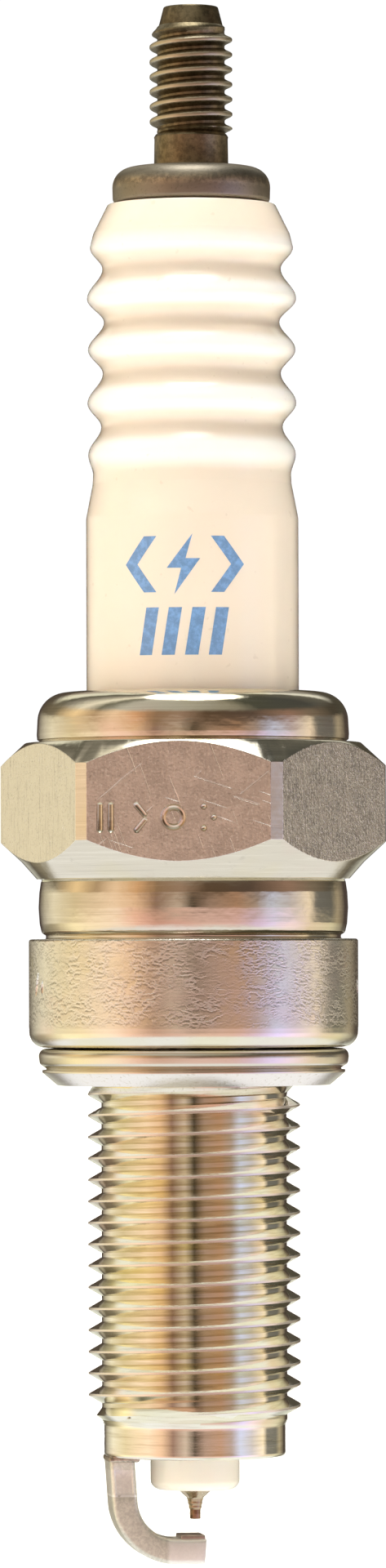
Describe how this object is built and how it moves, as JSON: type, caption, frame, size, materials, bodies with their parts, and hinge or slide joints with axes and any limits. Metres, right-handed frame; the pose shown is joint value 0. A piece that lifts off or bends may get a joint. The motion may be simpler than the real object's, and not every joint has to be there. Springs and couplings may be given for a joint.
{
  "type": "spark plug",
  "caption": "Ribbed insulator spark plug with a bare threaded terminal stud, hexagon shell, captive gasket, long thread and fine wire electrode over a bent ground strap.",
  "frame": {"origin": "on the plug's axis, in the plane where the gasket's lower face meets the cylinder head", "axes": "+Z along the axis, from the firing end towards the terminal; +X through a corner of the hexagon, so two of its flats face +Y and -Y; the ground strap's root lies near -X"},
  "size_m": [0.018, 0.016, 0.0728],
  "materials": {
    "terminal_stud": "dark oxidised steel, semi-gloss",
    "insulator": "cream glaze, glossy",
    "metal_shell": "zinc plated with faint yellow and violet tints",
    "gasket": "plated sheet steel, satin",
    "ground_electrode": "drawn nickel alloy, satin",
    "ground_electrode_weld": "resistance weld, rough",
    "ground_electrode_pad": "noble metal pad, satin",
    "centre_electrode": "nickel alloy, turned",
    "electrode_tip_weld": "laser weld, rippled",
    "electrode_tip": "fine wire, satin",
    "electrode_copper_core": "copper",
    "glass_seal": "copper filled glass, dark",
    "resistor": "carbon filled glass, matt black",
    "packing_ring": "plain steel wire",
    "talc_filler": "pressed powder, matt",
    "inner_seat_washer": "plain steel sheet"
  },
  "bodies": {
    "plug": {"terminal_stud": "terminal_stud", "insulator": "insulator", "metal_shell": "metal_shell", "ground_electrode": "ground_electrode", "ground_electrode_weld": "ground_electrode_weld", "ground_electrode_pad": "ground_electrode_pad", "centre_electrode": "centre_electrode", "electrode_tip_weld": "electrode_tip_weld", "electrode_tip": "electrode_tip", "electrode_copper_core": "electrode_copper_core", "upper_glass_seal": "glass_seal", "resistor": "resistor", "lower_glass_seal": "glass_seal", "upper_packing_ring": "packing_ring", "talc_filler": "talc_filler", "lower_packing_ring": "packing_ring", "inner_seat_washer": "inner_seat_washer"},
    "gasket": {"gasket": "gasket"}
  },
  "joints": [
    {"name": "gasket_spin", "type": "hinge", "parent": "plug", "child": "gasket", "pos_m": [0, 0, 0], "axis": [0, 0, 1], "continuous": true}
  ]
}
